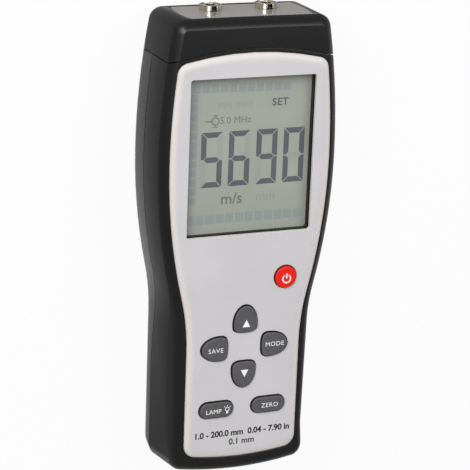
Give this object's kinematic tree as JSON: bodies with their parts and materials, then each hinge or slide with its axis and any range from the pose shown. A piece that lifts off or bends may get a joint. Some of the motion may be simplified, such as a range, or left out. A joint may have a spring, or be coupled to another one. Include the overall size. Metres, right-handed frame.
{
  "type": "ultrasonic thickness gauge",
  "caption": "Handheld ultrasonic thickness gauge: waisted black case, pale faceplate with a liquid crystal display and keypad, probe sockets in the top cap and a sliding battery door.",
  "frame": {"origin": "below the middle of the body, on the plane of its back", "axes": "+X across the face to the power key's side, +Y along the body towards the probe sockets, +Z out of the faceplate"},
  "size_m": [0.0664, 0.1694, 0.033],
  "materials": {
    "case_plastic": "fine satin texture",
    "panel_plastic": "gloss",
    "plate_plastic": "satin",
    "frame_plastic": "matt",
    "lens": "clear",
    "display_glass": "matt polariser",
    "light_guide": "gloss",
    "strip_rubber": "matt",
    "board": "solder mask",
    "chip": "matt",
    "components": "lacquered",
    "header": "matt",
    "mat_rubber": "matt",
    "key_rubber": "satin",
    "power_rubber": "satin",
    "nickel": "nickel plate",
    "insulator": "satin",
    "contact": "gold plate",
    "lead": "matt",
    "cell_jacket": "printed jacket",
    "steel": "plated"
  },
  "bodies": {
    "case": {"rear_housing": "case_plastic", "front_housing": "case_plastic", "top_cap": "case_plastic", "connector_panel": "panel_plastic", "faceplate": "plate_plastic", "lcd_frame": "frame_plastic", "lcd_window": "lens", "lcd_glass": "display_glass", "lcd_backlight": "light_guide", "zebra_strips": "strip_rubber", "main_board": "board", "main_chip": "chip", "board_parts": "components", "key_board": "board", "board_header": "header", "keypad_mat": "mat_rubber", "board_screws": "steel", "socket_nut_left": "nickel", "socket_nut_right": "nickel", "socket_shell_left": "nickel", "socket_shell_right": "nickel", "socket_insulator_left": "insulator", "socket_insulator_right": "insulator", "socket_contact_left": "contact", "socket_contact_right": "contact", "socket_leads": "lead", "cell_1": "cell_jacket", "cell_2": "cell_jacket", "cell_3": "cell_jacket", "cell_4": "cell_jacket", "contact_plates": "steel", "contact_springs": "steel", "case_screws": "steel"},
    "power": {"power_key": "power_rubber"},
    "up": {"up_key": "key_rubber"},
    "down": {"down_key": "key_rubber"},
    "left": {"left_key": "key_rubber"},
    "right": {"right_key": "key_rubber"},
    "lamp": {"lamp_key": "key_rubber"},
    "zero": {"zero_key": "key_rubber"},
    "door": {"battery_door": "case_plastic"}
  },
  "joints": [
    {"name": "power_press", "type": "slide", "parent": "case", "child": "power", "axis": [0, 0, -1], "range_m": [0, 0.0008], "stiffness_N_per_m": 800, "springref_m": -0.0004},
    {"name": "up_press", "type": "slide", "parent": "case", "child": "up", "axis": [0, 0, -1], "range_m": [0, 0.0008], "stiffness_N_per_m": 800, "springref_m": -0.0004},
    {"name": "down_press", "type": "slide", "parent": "case", "child": "down", "axis": [0, 0, -1], "range_m": [0, 0.0008], "stiffness_N_per_m": 800, "springref_m": -0.0004},
    {"name": "left_press", "type": "slide", "parent": "case", "child": "left", "axis": [0, 0, -1], "range_m": [0, 0.0008], "stiffness_N_per_m": 800, "springref_m": -0.0004},
    {"name": "right_press", "type": "slide", "parent": "case", "child": "right", "axis": [0, 0, -1], "range_m": [0, 0.0008], "stiffness_N_per_m": 800, "springref_m": -0.0004},
    {"name": "lamp_press", "type": "slide", "parent": "case", "child": "lamp", "axis": [0, 0, -1], "range_m": [0, 0.0008], "stiffness_N_per_m": 800, "springref_m": -0.0004},
    {"name": "zero_press", "type": "slide", "parent": "case", "child": "zero", "axis": [0, 0, -1], "range_m": [0, 0.0008], "stiffness_N_per_m": 800, "springref_m": -0.0004},
    {"name": "door_slide", "type": "slide", "parent": "case", "child": "door", "axis": [0, -1, 0], "range_m": [0, 0.008]}
  ]
}
